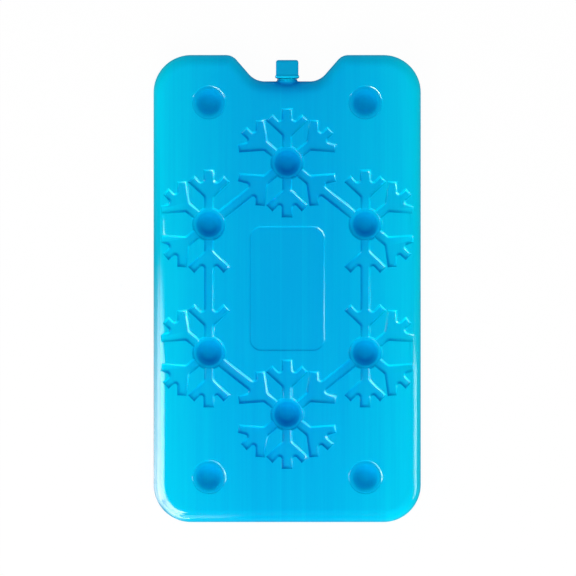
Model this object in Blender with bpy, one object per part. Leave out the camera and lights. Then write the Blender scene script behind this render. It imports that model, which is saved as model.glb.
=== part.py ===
"""Reusable ice pack: a flat blow-moulded plate filled with cooling liquid, and the plug that closes it.

The plate lies on its back on z = 0, with its length along Y and the filler neck at the +Y end. Its front
face carries a ring of six snowflakes joined by bars, a shallow panel, and ten kiss-off dimples, where the
front and back walls meet in the middle of the plate. All sizes are in metres.
"""

import math
from dataclasses import dataclass

import bmesh
import bpy
from mathutils import Matrix, Vector

MM = 0.001

# Plate
LENGTH = 250.0 * MM
WIDTH = 143.0 * MM
THICKNESS = 15.0 * MM
CORNER_RADIUS = 20.0 * MM
EDGE_RADIUS = 6.6 * MM
EDGE_DRAFT = 0.1 * MM
EDGE_STEPS = 5
CORNER_STEPS = 8

# Parting line, a low ridge round the edge where the two mould halves met
PARTING_PROUD = 0.25 * MM
PARTING_HEIGHT = 0.7 * MM

# Notch in the +Y end
NOTCH_DEPTH = 14.1 * MM
NOTCH_MOUTH_WIDTH = 58.8 * MM
NOTCH_FLOOR_WIDTH = 34.2 * MM
NOTCH_SHOULDER_RADIUS = 7.5 * MM
NOTCH_FLOOR_RADIUS = 11.1 * MM
NOTCH_STEPS = 4

# Filler neck, standing in the notch
NECK_DIAMETER = 10.8 * MM
NECK_BORE = 7.0 * MM
NECK_BORE_DEPTH = 9.0 * MM
NECK_RISE = 1.1 * MM
NECK_FLARE = 0.5 * MM
NECK_ROOT = 7.0 * MM
ROUND_STEPS = 24

# Filler plug
FIT_GAP = 0.3 * MM
PLUG_HEAD_WIDTH = 12.0 * MM
PLUG_HEAD_HEIGHT = 9.8 * MM
PLUG_LIP_PROUD = 0.45 * MM
PLUG_LIP_HEIGHT = 0.5 * MM
PLUG_LIP_BLEND = 0.5 * MM
PLUG_UNDERCUT = 0.8 * MM
PLUG_TOP_RADIUS = 1.3 * MM
PLUG_CORNER_RADIUS = 1.2 * MM
PLUG_CORNER_STEPS = 3
PLUG_TOP_CORNER_SHARE = 0.25
PLUG_STEM_LENGTH = 7.5 * MM
PLUG_STEM_CHAMFER = 0.8 * MM

# Kiss-off dimples, pressed in from both faces until the walls meet
DIMPLE_RIM_DIAMETER = 18.6 * MM
DIMPLE_SHOULDER_DIAMETER = 13.4 * MM
DIMPLE_SHOULDER_DEPTH = 1.5 * MM
DIMPLE_FOOT_DIAMETER = 10.6 * MM
DIMPLE_CROWN = 0.9 * MM
DIMPLE_STEPS = 24
KISS_OFF_WEB = 2.2 * MM
CORNER_DIMPLE_SPACING = 83.5 * MM
CORNER_DIMPLE_FROM_NECK_END = 25.7 * MM
CORNER_DIMPLE_FROM_FAR_END = 24.3 * MM

# Snowflake ring
RELIEF_DEPTH = 1.1 * MM
RELIEF_WALL_SPREAD = 1.0 * MM
END_FLAKE_OFFSET = 67.1 * MM
SIDE_FLAKE_OFFSET = 34.3 * MM
SIDE_FLAKE_SPACING = 83.5 * MM
STEM_WIDTH = 5.4 * MM
FORK_RADIUS = 1.2 * MM
FORK_STEPS = 2
END_FLAKE_BAR_SHARE = 0.65
SIDE_FLAKE_BAR_SHARE = 0.5

# Panel inside the ring
PANEL_WIDTH = 40.4 * MM
PANEL_LENGTH = 66.8 * MM
PANEL_CORNER_RADIUS = 6.4 * MM
PANEL_DEPTH = 0.5 * MM
PANEL_WALL_SPREAD = 0.8 * MM
PANEL_CORNER_STEPS = 5

# How far a cutter stands clear of the surface that it cuts, and how far its drafted wall does
CUT_CLEARANCE = 0.5 * MM
RIM_OVERLAP = 0.05 * MM

# Points nearer than this are one point, and edges sharper than this angle aren't shaded smooth
MERGE_DISTANCE = 0.0005 * MM
SHARP_ANGLE = 30.0

# Finishes: colour, roughness and share of light scattered inside the plastic
SHELL_COLOUR = (0.0, 0.42, 0.74)
SHELL_ROUGHNESS = 0.3
SHELL_SCATTER = 0.15
PLUG_COLOUR = (0.0, 0.34, 0.62)
PLUG_ROUGHNESS = 0.35
PLUG_SCATTER = 0.1

QUARTER_TURN = 90.0

MID_HEIGHT = THICKNESS / 2
END_Y = LENGTH / 2
NOTCH_Y = END_Y - NOTCH_DEPTH
NECK_TOP_Y = NOTCH_Y + NECK_RISE
PLUG_SEAT_Y = NECK_TOP_Y + FIT_GAP


@dataclass(frozen=True)
class Prong:
    """A straight finger of a snowflake: the middle of its tip from the flake's centre, heading and width.

    A bar has an open tip, where the bar of the neighbouring flake carries on.
    """

    tip: tuple[float, float]
    heading: float
    width: float
    taper: float = 0.0
    open_tip: bool = False


# The three fingers of the arm along Y and of the slanting arm, for the quarter where x and y are positive
SPINE = Prong(tip=(0.0, 29.2 * MM), heading=90.0, width=6.0 * MM)
SPINE_SIDE = Prong(tip=(9.6 * MM, 24.3 * MM), heading=45.0, width=5.0 * MM, taper=-2.0)
BRANCH_UPRIGHT = Prong(tip=(14.4 * MM, 22.9 * MM), heading=86.0, width=5.1 * MM, taper=4.0)
BRANCH_MIDDLE = Prong(tip=(23.2 * MM, 17.5 * MM), heading=43.0, width=4.8 * MM)
BRANCH_LEVEL = Prong(tip=(26.0 * MM, 7.7 * MM), heading=-9.0, width=4.5 * MM, taper=5.0)


def heading_vector(degrees):
    """The unit vector at this angle from +X."""
    return Vector((math.cos(math.radians(degrees)), math.sin(math.radians(degrees))))


def meeting_point(line_a, line_b):
    """Where two lines cross, each given as a point and a direction."""
    (a, along_a), (b, along_b) = line_a, line_b
    return a + along_a * ((b - a).cross(along_b) / along_a.cross(along_b))


def rounded_outline(corners, steps):
    """A closed outline through (x, y, radius) corners, each rounded by an arc in this many steps."""
    outline = []
    for index, (x, y, radius) in enumerate(corners):
        corner = Vector((x, y))
        if radius <= 0:
            outline.append(corner)
            continue
        before = (Vector(corners[index - 1][:2]) - corner).normalized()
        after = (Vector(corners[(index + 1) % len(corners)][:2]) - corner).normalized()
        half_angle = before.angle(after) / 2
        centre = corner + (before + after).normalized() * (radius / math.sin(half_angle))
        start = corner + before * (radius / math.tan(half_angle)) - centre
        turn = (math.pi - 2 * half_angle) * (-1 if before.cross(after) > 0 else 1)
        for step in range(steps + 1):
            outline.append(centre + Matrix.Rotation(turn * step / steps, 2) @ start)
    return outline


def flat_face(bm, outline, z=0.0):
    """One face through the outline, facing up."""
    face = bm.faces.new([bm.verts.new((point.x, point.y, z)) for point in outline])
    face.normal_update()
    if face.normal.z < 0:
        face.normal_flip()
    return face


def step_in(bm, faces, inward, rise):
    """Insets the region of faces by inward and lifts it by rise."""
    bmesh.ops.inset_region(bm, faces=faces, thickness=inward, use_even_offset=True, use_boundary=True)
    verts = {vert for face in faces for vert in face.verts}
    bmesh.ops.translate(bm, verts=list(verts), vec=(0, 0, rise))


def mesh_object(bm, name):
    """Turns the bmesh into an object, closed and with its faces pointing out."""
    bmesh.ops.remove_doubles(bm, verts=bm.verts, dist=MERGE_DISTANCE)
    bmesh.ops.recalc_face_normals(bm, faces=bm.faces)
    mesh = bpy.data.meshes.new(name)
    bm.to_mesh(mesh)
    bm.free()
    obj = bpy.data.objects.new(name, mesh)
    bpy.context.scene.collection.objects.link(obj)
    return obj


def helper_object(bm, name):
    """A cutter or an added form, which the render and the parts list leave out."""
    obj = mesh_object(bm, name)
    obj.hide_render = True
    obj.display_type = "WIRE"
    return obj


def combine(obj, other, operation):
    """Adds an exact Boolean of the other object."""
    boolean = obj.modifiers.new(other.name, "BOOLEAN")
    boolean.operation = operation
    boolean.solver = "EXACT"
    boolean.object = other


def smooth(obj):
    """Shades the object smooth, apart from its sharp edges."""
    obj.data.shade_smooth()
    obj.data.set_sharp_from_angle(angle=math.radians(SHARP_ANGLE))


def plastic(name, colour, roughness, scatter):
    """A gloss plastic of this colour."""
    material = bpy.data.materials.new(name)
    material.use_nodes = True
    shader = material.node_tree.nodes["Principled BSDF"]
    shader.inputs["Base Color"].default_value = (*colour, 1.0)
    shader.inputs["Roughness"].default_value = roughness
    shader.inputs["Metallic"].default_value = 0.0
    shader.inputs["Subsurface Weight"].default_value = scatter
    return material


def plate_corners():
    """The plate's outline at its parting line, anticlockwise from the +X side of the notch."""
    half_width, mouth, floor = WIDTH / 2, NOTCH_MOUTH_WIDTH / 2, NOTCH_FLOOR_WIDTH / 2
    right = [
        (half_width, -END_Y, CORNER_RADIUS),
        (half_width, END_Y, CORNER_RADIUS),
        (mouth, END_Y, NOTCH_SHOULDER_RADIUS),
        (floor, NOTCH_Y, NOTCH_FLOOR_RADIUS),
    ]
    return right + [(-x, y, radius) for x, y, radius in reversed(right)]


def plate_outline():
    """The rounded outline, with as many points on each corner as its radius needs."""
    corners = plate_corners()
    outline = []
    for index, corner in enumerate(corners):
        neighbours = [corners[index - 1], corner, corners[(index + 1) % len(corners)]]
        steps = CORNER_STEPS if corner[2] == CORNER_RADIUS else NOTCH_STEPS
        arc = rounded_outline(neighbours, steps)
        outline += arc[steps + 1 : 2 * steps + 2]
    return outline


def plate_body():
    """The plate without its relief: half of its edge stepped in from the parting line, and mirrored."""
    bm = bmesh.new()
    face = flat_face(bm, plate_outline())
    step_in(bm, [face], PARTING_PROUD, PARTING_HEIGHT / 2)
    step_in(bm, [face], EDGE_DRAFT, MID_HEIGHT - PARTING_HEIGHT / 2 - EDGE_RADIUS)
    for step in range(EDGE_STEPS):
        low, high = (math.radians(QUARTER_TURN * count / EDGE_STEPS) for count in (step, step + 1))
        inward = EDGE_RADIUS * (math.cos(low) - math.cos(high))
        rise = EDGE_RADIUS * (math.sin(high) - math.sin(low))
        step_in(bm, [face], inward, rise)
    geometry = bm.verts[:] + bm.edges[:] + bm.faces[:]
    bmesh.ops.mirror(bm, geom=geometry, axis="Z", merge_dist=MERGE_DISTANCE)
    bmesh.ops.translate(bm, verts=bm.verts, vec=(0, 0, MID_HEIGHT))
    return mesh_object(bm, "pack_shell")


def prong_lines(prong, grow):
    """The prong's two side edges, right then left as seen from its root, and its two tip corners."""
    along = heading_vector(prong.heading)
    aside = Vector((-along.y, along.x))
    tip = Vector(prong.tip) + along * (0.0 if prong.open_tip else grow)
    half = prong.width / 2 + grow
    right = (tip - aside * half, heading_vector(prong.heading + prong.taper))
    left = (tip + aside * half, heading_vector(prong.heading - prong.taper))
    return right, left


def mirrored(prong, flip_x, flip_y):
    """The prong on the other side of X = 0, of Y = 0, or of both."""
    x, y = prong.tip
    heading = prong.heading
    if flip_x:
        x, heading = -x, 180.0 - heading
    if flip_y:
        y, heading = -y, -heading
    return Prong((x, y), heading, prong.width, prong.taper)


def bar_prong(vector, share):
    """This share of the bar from a flake's centre to its neighbour's, which lies at the vector."""
    heading = math.degrees(math.atan2(vector.y, vector.x))
    return Prong(tuple(vector * share), heading, STEM_WIDTH, open_tip=True)


def stem_lines(heading, grow):
    """The right and left edges of the stem that an arm grows on."""
    stem = Prong((0.0, 0.0), heading, STEM_WIDTH)
    (right, along), (left, _) = prong_lines(stem, 0.0)
    aside = (left - right).normalized()
    return (right - aside * grow, along), (left + aside * grow, along)


def flake_outline(arms, grow):
    """A snowflake's corners, anticlockwise: each arm is a heading and its prongs, from right to left."""
    corners = []
    for index, (heading, prongs) in enumerate(arms):
        stem_right, stem_left = stem_lines(heading, grow)
        _, last_left = stem_lines(arms[index - 1][0], grow)
        corners.append((*meeting_point(last_left, stem_right), 0.0))
        edges = [prong_lines(prong, grow) for prong in prongs]
        if len(prongs) > 1:
            corners.append((*meeting_point(stem_right, edges[0][0]), 0.0))
        for number, (right, left) in enumerate(edges):
            corners += [(*right[0], 0.0), (*left[0], 0.0)]
            if number + 1 < len(edges):
                fork = meeting_point(left, edges[number + 1][0])
                corners.append((*fork, max(FORK_RADIUS - grow, 0.0)))
        if len(prongs) > 1:
            corners.append((*meeting_point(edges[-1][1], stem_left), 0.0))
    return rounded_outline(corners, FORK_STEPS)


def spine_arm(down, bar=None):
    """The arm along +Y or -Y, with its middle finger run on as a bar where one is given."""
    middle = bar or mirrored(SPINE, False, down)
    prongs = [mirrored(SPINE_SIDE, down, down), middle, mirrored(SPINE_SIDE, not down, down)]
    return 270.0 if down else 90.0, prongs


def branch_arm(angle, flip_x, flip_y, bar=None):
    """A slanting arm, with its middle finger run on as a bar where one is given."""
    prongs = [BRANCH_LEVEL, BRANCH_MIDDLE, BRANCH_UPRIGHT]
    prongs = [mirrored(prong, flip_x, flip_y) for prong in prongs]
    prongs[1] = bar or prongs[1]
    if flip_x != flip_y:
        prongs.reverse()
    heading = 180.0 - angle if flip_x else angle
    return -heading if flip_y else heading, prongs


def flake_arms(side, end):
    """The arms of one flake, anticlockwise: side is -1, 0 or 1 across the plate, end is -1 or 1 along it."""
    to_side = Vector((SIDE_FLAKE_SPACING / 2, -(END_FLAKE_OFFSET - SIDE_FLAKE_OFFSET)))
    angle = math.degrees(math.atan2(-to_side.y, to_side.x))
    if side == 0:
        right = bar_prong(Vector((to_side.x, to_side.y * end)), END_FLAKE_BAR_SHARE)
        left = bar_prong(Vector((-to_side.x, to_side.y * end)), END_FLAKE_BAR_SHARE)
        arms = [spine_arm(False), spine_arm(True)]
        for flip_x in (False, True):
            for flip_y in (False, True):
                joined = flip_y == (end > 0)
                bar = left if flip_x else right
                arms.append(branch_arm(angle, flip_x, flip_y, bar if joined else None))
    else:
        across = bar_prong(Vector((0.0, -2 * SIDE_FLAKE_OFFSET * end)), SIDE_FLAKE_BAR_SHARE)
        inward = bar_prong(Vector((-to_side.x * side, -to_side.y * end)), 1 - END_FLAKE_BAR_SHARE)
        arms = [spine_arm(False, across if end < 0 else None), spine_arm(True, across if end > 0 else None)]
        arms += [branch_arm(angle, side < 0, flip_y) for flip_y in (False, True)]
        arms.append((inward.heading, [inward]))
    return sorted(arms, key=lambda arm: arm[0] % 360)


def flake_centres():
    """(side, end) of each flake with its centre."""
    for end in (-1, 1):
        yield (0, end), Vector((0.0, END_FLAKE_OFFSET * end))
        for side in (-1, 1):
            yield (side, end), Vector((SIDE_FLAKE_SPACING / 2 * side, SIDE_FLAKE_OFFSET * end))


def recess_cutter(name, outlines, depth, spread):
    """A cutter whose drafted wall meets the top face at the drawn outline, from outlines grown to match."""
    bm = bmesh.new()
    for outline in outlines:
        flat_face(bm, outline, THICKNESS + CUT_CLEARANCE)
    bmesh.ops.remove_doubles(bm, verts=bm.verts, dist=MERGE_DISTANCE)
    extruded = bmesh.ops.extrude_face_region(bm, geom=bm.faces[:])["geom"]
    floors = [geom for geom in extruded if isinstance(geom, bmesh.types.BMFace)]
    verts = [geom for geom in extruded if isinstance(geom, bmesh.types.BMVert)]
    bmesh.ops.translate(bm, verts=verts, vec=(0, 0, RIM_OVERLAP - CUT_CLEARANCE))
    share = 1 + RIM_OVERLAP / depth
    step_in(bm, floors, spread * share, -depth * share)
    return helper_object(bm, name)


def snowflake_ring_cutter():
    """The cutter of the six snowflakes and their bars."""
    grow = RELIEF_WALL_SPREAD * RIM_OVERLAP / RELIEF_DEPTH
    outlines = []
    for place, centre in flake_centres():
        outlines.append([centre + point for point in flake_outline(flake_arms(*place), grow)])
    return recess_cutter("snowflake_ring_cutter", outlines, RELIEF_DEPTH, RELIEF_WALL_SPREAD)


def panel_cutter():
    """The cutter of the shallow panel in the middle of the ring."""
    grow = PANEL_WALL_SPREAD * RIM_OVERLAP / PANEL_DEPTH
    x, y, radius = PANEL_WIDTH / 2 + grow, PANEL_LENGTH / 2 + grow, PANEL_CORNER_RADIUS + grow
    corners = [(x, -y, radius), (x, y, radius), (-x, y, radius), (-x, -y, radius)]
    outline = rounded_outline(corners, PANEL_CORNER_STEPS)
    return recess_cutter("panel_cutter", [outline], PANEL_DEPTH, PANEL_WALL_SPREAD)


def dimple_centres():
    """The centre of each kiss-off dimple: one in each flake and one in each corner."""
    centres = [centre for _, centre in flake_centres()]
    for y in (END_Y - CORNER_DIMPLE_FROM_NECK_END, CORNER_DIMPLE_FROM_FAR_END - END_Y):
        centres += [Vector((CORNER_DIMPLE_SPACING / 2 * side, y)) for side in (-1, 1)]
    return centres


def dimple_profile():
    """The dimple's (radius, depth) from above the surface to the middle of its foot."""
    depth = (THICKNESS - KISS_OFF_WEB) / 2
    rim, shoulder, foot = DIMPLE_RIM_DIAMETER / 2, DIMPLE_SHOULDER_DIAMETER / 2, DIMPLE_FOOT_DIAMETER / 2
    flare = (rim - shoulder) * CUT_CLEARANCE / DIMPLE_SHOULDER_DEPTH
    return [
        (rim + flare, -CUT_CLEARANCE),
        (shoulder, DIMPLE_SHOULDER_DEPTH),
        (foot, depth - DIMPLE_CROWN),
        (foot * math.sqrt(0.5), depth - DIMPLE_CROWN * (1 - math.sqrt(0.5))),
        (0.0, depth),
    ]


def dimple_cutter():
    """All the dimples as turned forms, on the front face and mirrored on the back."""
    bm = bmesh.new()
    for centre in dimple_centres():
        for surface, up in ((THICKNESS, 1), (0.0, -1)):
            profile = [(0.0, -CUT_CLEARANCE)] + dimple_profile()
            points = [(centre.x + r, centre.y, surface - depth * up) for r, depth in profile]
            verts = [bm.verts.new(point) for point in points]
            edges = [bm.edges.new(pair) for pair in zip(verts, verts[1:])]
            bmesh.ops.spin(
                bm,
                geom=verts + edges,
                cent=(centre.x, centre.y, 0),
                axis=(0, 0, 1),
                angle=math.tau,
                steps=DIMPLE_STEPS,
                use_merge=True,
            )
    return helper_object(bm, "dimple_cutter")


def turned_along_y(name, profile):
    """A round form about the neck's axis from its (radius, y) profile."""
    bm = bmesh.new()
    verts = [bm.verts.new((radius, y, MID_HEIGHT)) for radius, y in profile]
    edges = [bm.edges.new(pair) for pair in zip(verts, verts[1:])]
    bmesh.ops.spin(
        bm,
        geom=verts + edges,
        cent=(0, 0, MID_HEIGHT),
        axis=(0, 1, 0),
        angle=math.tau,
        steps=ROUND_STEPS,
        use_merge=True,
    )
    return helper_object(bm, name)


def filler_neck():
    """The round neck in the notch, flared where it leaves the plate."""
    radius = NECK_DIAMETER / 2
    return turned_along_y(
        "filler_neck",
        [
            (0.0, NECK_TOP_Y),
            (radius, NECK_TOP_Y),
            (radius, NOTCH_Y + NECK_FLARE),
            (radius + NECK_FLARE, NOTCH_Y),
            (radius + NECK_FLARE, NOTCH_Y - NECK_ROOT),
            (0.0, NOTCH_Y - NECK_ROOT),
        ],
    )


def neck_bore_cutter():
    """The blind bore that takes the plug's stem."""
    radius = NECK_BORE / 2
    above = NECK_TOP_Y + CUT_CLEARANCE
    floor = NECK_TOP_Y - NECK_BORE_DEPTH
    profile = [(0.0, above), (radius, above), (radius, floor), (0.0, floor)]
    return turned_along_y("neck_bore_cutter", profile)


def plug_head_sections():
    """(y, half width, corner radius) of the plug's head, from its underside to its top."""
    half = PLUG_HEAD_WIDTH / 2
    lip = half + PLUG_LIP_PROUD
    seat = NECK_DIAMETER / 2
    top = PLUG_SEAT_Y + PLUG_HEAD_HEIGHT
    least_radius = PLUG_CORNER_RADIUS * PLUG_TOP_CORNER_SHARE
    sections = [
        (PLUG_SEAT_Y, seat, seat - PLUG_CORNER_RADIUS),
        (PLUG_SEAT_Y + PLUG_UNDERCUT, lip, PLUG_CORNER_RADIUS + PLUG_LIP_PROUD),
        (PLUG_SEAT_Y + PLUG_UNDERCUT + PLUG_LIP_HEIGHT, lip, PLUG_CORNER_RADIUS + PLUG_LIP_PROUD),
        (PLUG_SEAT_Y + PLUG_UNDERCUT + PLUG_LIP_HEIGHT + PLUG_LIP_BLEND, half, PLUG_CORNER_RADIUS),
    ]
    for step in range(PLUG_CORNER_STEPS + 1):
        turn = math.radians(QUARTER_TURN * step / PLUG_CORNER_STEPS)
        inward = PLUG_TOP_RADIUS * (1 - math.cos(turn))
        y = top - PLUG_TOP_RADIUS * (1 - math.sin(turn))
        sections.append((y, half - inward, max(PLUG_CORNER_RADIUS - inward, least_radius)))
    return sections


def filler_plug():
    """The square head, lofted through its sections, on a round stem that seats in the neck."""
    bm = bmesh.new()
    loops = []
    for y, half, radius in plug_head_sections():
        signs = ((1, -1), (1, 1), (-1, 1), (-1, -1))
        corners = [(half * side_x, half * side_z, radius) for side_x, side_z in signs]
        outline = rounded_outline(corners, PLUG_CORNER_STEPS)
        verts = [bm.verts.new((point.x, y, MID_HEIGHT + point.y)) for point in outline]
        loops.append([bm.edges.new(pair) for pair in zip(verts, verts[1:] + verts[:1])])
    for lower, upper in zip(loops, loops[1:]):
        bmesh.ops.bridge_loops(bm, edges=lower + upper)
    for end in (loops[0], loops[-1]):
        bmesh.ops.contextual_create(bm, geom=end)
    plug = mesh_object(bm, "filler_plug")

    radius = NECK_BORE / 2 - FIT_GAP
    foot = PLUG_SEAT_Y - PLUG_STEM_LENGTH
    stem = turned_along_y(
        "plug_stem",
        [
            (0.0, PLUG_SEAT_Y + PLUG_UNDERCUT),
            (radius, PLUG_SEAT_Y + PLUG_UNDERCUT),
            (radius, foot + PLUG_STEM_CHAMFER),
            (radius - PLUG_STEM_CHAMFER, foot),
            (0.0, foot),
        ],
    )
    combine(plug, stem, "UNION")
    return plug


def main():
    for obj in list(bpy.data.objects):
        bpy.data.objects.remove(obj)

    shell = plate_body()
    combine(shell, snowflake_ring_cutter(), "DIFFERENCE")
    combine(shell, panel_cutter(), "DIFFERENCE")
    combine(shell, dimple_cutter(), "DIFFERENCE")
    combine(shell, filler_neck(), "UNION")
    combine(shell, neck_bore_cutter(), "DIFFERENCE")
    shell.data.materials.append(plastic("translucent_blue", SHELL_COLOUR, SHELL_ROUGHNESS, SHELL_SCATTER))
    smooth(shell)

    plug = filler_plug()
    plug.data.materials.append(plastic("plug_blue", PLUG_COLOUR, PLUG_ROUGHNESS, PLUG_SCATTER))
    smooth(plug)


main()
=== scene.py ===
"""Looks of a reusable ice pack: a blow-moulded plastic plate full of cooling liquid, and its filler plug.

The plate lies on its back on a pale floor, under a large soft light at its lower left. Sizes are in metres, in the
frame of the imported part: the plate's length runs along Y, the filler neck is at the +Y end, and the front is up.
"""

import sys

import logging
import math
from dataclasses import dataclass, field, replace
from enum import Enum

import bmesh
import bpy
from mathutils import Matrix, Vector

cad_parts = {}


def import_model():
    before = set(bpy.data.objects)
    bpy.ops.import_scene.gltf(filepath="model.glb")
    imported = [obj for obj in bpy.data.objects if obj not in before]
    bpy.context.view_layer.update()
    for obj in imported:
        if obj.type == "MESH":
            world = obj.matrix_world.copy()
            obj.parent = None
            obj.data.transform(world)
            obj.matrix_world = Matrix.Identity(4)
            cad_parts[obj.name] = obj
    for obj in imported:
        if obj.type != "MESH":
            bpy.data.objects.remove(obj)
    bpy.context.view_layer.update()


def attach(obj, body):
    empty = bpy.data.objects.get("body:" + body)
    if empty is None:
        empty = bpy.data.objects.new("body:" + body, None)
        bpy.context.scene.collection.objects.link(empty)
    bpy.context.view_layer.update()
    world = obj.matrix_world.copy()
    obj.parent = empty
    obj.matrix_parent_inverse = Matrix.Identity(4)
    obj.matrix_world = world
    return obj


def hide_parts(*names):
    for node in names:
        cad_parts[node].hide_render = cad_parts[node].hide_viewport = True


MM = 0.001
MERGE_DISTANCE = 0.0005 * MM
RAMP_TOP = 1.4
SMOOTH_ANGLE = 50.0
FLAT_FACE_WEIGHT = 90
WHITE = (1.0, 1.0, 1.0, 1.0)

log = logging.getLogger("ice_pack")

Colour = tuple[float, float, float]
Corner = tuple[float, float, float]
Pair = tuple[float, float]
Triple = tuple[float, float, float]
Line = tuple[Vector, Vector]
Place = Vector | Triple
Socket = bpy.types.NodeSocket


class Side(Enum):
    """Where a snowflake stands across the plate."""

    LEFT = -1
    MIDDLE = 0
    RIGHT = 1


class End(Enum):
    """The end of the plate that a snowflake is nearer to."""

    FAR = -1
    NECK = 1


class ShellPlastic(Enum):
    """The shell's plastics, by material slot: its skin, inside the dimples, and the walls of the recesses."""

    SKIN = 0
    BOWL = 1
    WALL = 2


class LampUse(Enum):
    """Whether a lamp lights the plastic or is mirrored in its gloss."""

    FILL = "fill"
    SHEEN = "sheen"


def clamped(value: float) -> float:
    """The value, kept from 0 to 1."""
    return min(max(value, 0.0), 1.0)


def heading_vector(degrees: float) -> Vector:
    """The unit vector at this angle from +X, in degrees."""
    return Vector((math.cos(math.radians(degrees)), math.sin(math.radians(degrees))))


def meeting_point(line_a: Line, line_b: Line) -> Vector:
    """Where two lines cross.

    Args:
        line_a: A point on the first line and its direction.
        line_b: A point on the second line and its direction.

    Returns:
        The crossing point.
    """
    (a, along_a), (b, along_b) = line_a, line_b
    return a + along_a * ((b - a).cross(along_b) / along_a.cross(along_b))


def corner_arc(before: Vector, corner: Vector, after: Vector, radius: float, steps: int) -> list[Vector]:
    """The arc that rounds one corner of a line.

    Args:
        before: The point that the line comes from.
        corner: The sharp corner.
        after: The point that the line goes on to.
        radius: The arc's radius. A corner with none stays sharp.
        steps: How many straight steps the arc has.

    Returns:
        The points of the arc, in the line's order.
    """
    if radius <= 0:
        return [corner]
    back, onward = (before - corner).normalized(), (after - corner).normalized()
    half_angle = back.angle(onward) / 2
    centre = corner + (back + onward).normalized() * (radius / math.sin(half_angle))
    start = corner + back * (radius / math.tan(half_angle)) - centre
    turn = (math.pi - 2 * half_angle) * (-1 if back.cross(onward) > 0 else 1)
    return [centre + Matrix.Rotation(turn * step / steps, 2) @ start for step in range(steps + 1)]


def rounded_outline(corners: list[Corner], step_angle: float) -> list[Vector]:
    """A closed outline whose corners are rounded.

    Args:
        corners: The x, y and radius of each corner.
        step_angle: The turn of one step of an arc, in degrees.

    Returns:
        The outline's points.
    """
    outline = []
    for index, (x, y, radius) in enumerate(corners):
        before, corner = Vector(corners[index - 1][:2]), Vector((x, y))
        after = Vector(corners[(index + 1) % len(corners)][:2])
        turn = 180.0 - math.degrees((before - corner).angle(after - corner))
        outline += corner_arc(before, corner, after, radius, max(1, round(turn / step_angle)))
    return outline


def rounded_rectangle(half_width: float, half_length: float, radius: float, step_angle: float) -> list[Vector]:
    """The outline of a rectangle with rounded corners.

    Args:
        half_width: Half its width.
        half_length: Half its length.
        radius: The radius of its corners.
        step_angle: The turn of one step of an arc, in degrees.

    Returns:
        The outline's points.
    """
    x, y = half_width, half_length
    return rounded_outline([(x, -y, radius), (x, y, radius), (-x, y, radius), (-x, -y, radius)], step_angle)


def rounded_path(corners: list[Corner], steps: int) -> list[Vector]:
    """An open line whose corners are rounded.

    Args:
        corners: The x, y and radius of each corner. The two ends have no radius.
        steps: How many straight steps each arc has.

    Returns:
        The line's points.
    """
    points = [Vector(corner[:2]) for corner in corners]
    path = [points[0]]
    for index in range(1, len(corners) - 1):
        path += corner_arc(points[index - 1], points[index], points[index + 1], corners[index][2], steps)
    return path + [points[-1]]


def fillet_steps(radius: float, steep: float, steps: int, rising: bool) -> list[Pair]:
    """The steps of a fillet between a level face and a sloping wall.

    Args:
        radius: The fillet's radius.
        steep: The wall's slope, in degrees.
        steps: How many straight steps it has.
        rising: Whether it leads from the level face into the wall, and not out of it.

    Returns:
        How far each step goes inward and how far it drops.
    """
    angles = [math.radians(steep) * step / steps for step in range(steps + 1)]
    made = []
    for low, high in zip(angles, angles[1:]):
        made.append((radius * (math.sin(high) - math.sin(low)), radius * (math.cos(low) - math.cos(high))))
    return made if rising else made[::-1]


def flat_face(bm: bmesh.types.BMesh, outline: list[Vector], z: float) -> bmesh.types.BMFace:
    """One face through an outline, facing up.

    Args:
        bm: The mesh that gets the face.
        outline: The points round it.
        z: Its height.

    Returns:
        The face.
    """
    face = bm.faces.new([bm.verts.new((point.x, point.y, z)) for point in outline])
    face.normal_update()
    if face.normal.z < 0:
        face.normal_flip()
    return face


def step_in(bm: bmesh.types.BMesh, faces: list[bmesh.types.BMFace], inward: float, rise: float) -> None:
    """Insets a region of faces and lifts it.

    Args:
        bm: The mesh that holds the faces.
        faces: The region.
        inward: How far its outline moves in.
        rise: How far it is lifted.
    """
    bmesh.ops.inset_region(bm, faces=faces, thickness=inward, use_even_offset=True, use_boundary=True)
    verts = {vert for face in faces for vert in face.verts}
    bmesh.ops.translate(bm, verts=list(verts), vec=(0, 0, rise))


def new_object(name: str, data: bpy.types.ID) -> bpy.types.Object:
    """Makes an object and links it to the scene.

    Args:
        name: Its name.
        data: Its mesh, lamp or lens.

    Returns:
        The object.
    """
    made = bpy.data.objects.new(name, data)
    bpy.context.scene.collection.objects.link(made)
    return made


def mesh_object(bm: bmesh.types.BMesh, name: str) -> bpy.types.Object:
    """Turns a closed bmesh into an object whose faces point out.

    Args:
        bm: The mesh, which is freed.
        name: The object's name.

    Returns:
        The object, linked to the scene.
    """
    bmesh.ops.remove_doubles(bm, verts=bm.verts, dist=MERGE_DISTANCE)
    bmesh.ops.recalc_face_normals(bm, faces=bm.faces)
    mesh = bpy.data.meshes.new(name)
    bm.to_mesh(mesh)
    bm.free()
    return new_object(name, mesh)


def combine(body: bpy.types.Object, other: bpy.types.Object, operation: str) -> None:
    """Adds an exact Boolean.

    Args:
        body: The object that is changed.
        other: The object that cuts it or joins it.
        operation: DIFFERENCE or UNION.
    """
    boolean = body.modifiers.new(other.name, "BOOLEAN")
    boolean.operation = operation
    boolean.solver = "EXACT"
    boolean.object = other


def bake(body: bpy.types.Object, name: str) -> bpy.types.Object:
    """Replaces an object and the forms in its Booleans by their finished mesh.

    Args:
        body: The object with its Booleans.
        name: The finished piece's name.

    Returns:
        The finished piece.
    """
    tools = [modifier.object for modifier in body.modifiers]
    shaped = body.evaluated_get(bpy.context.evaluated_depsgraph_get())
    mesh = bpy.data.meshes.new_from_object(shaped)
    for spent in [body, *tools]:
        bpy.data.objects.remove(spent)
    mesh.name = name
    return new_object(name, mesh)


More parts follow.
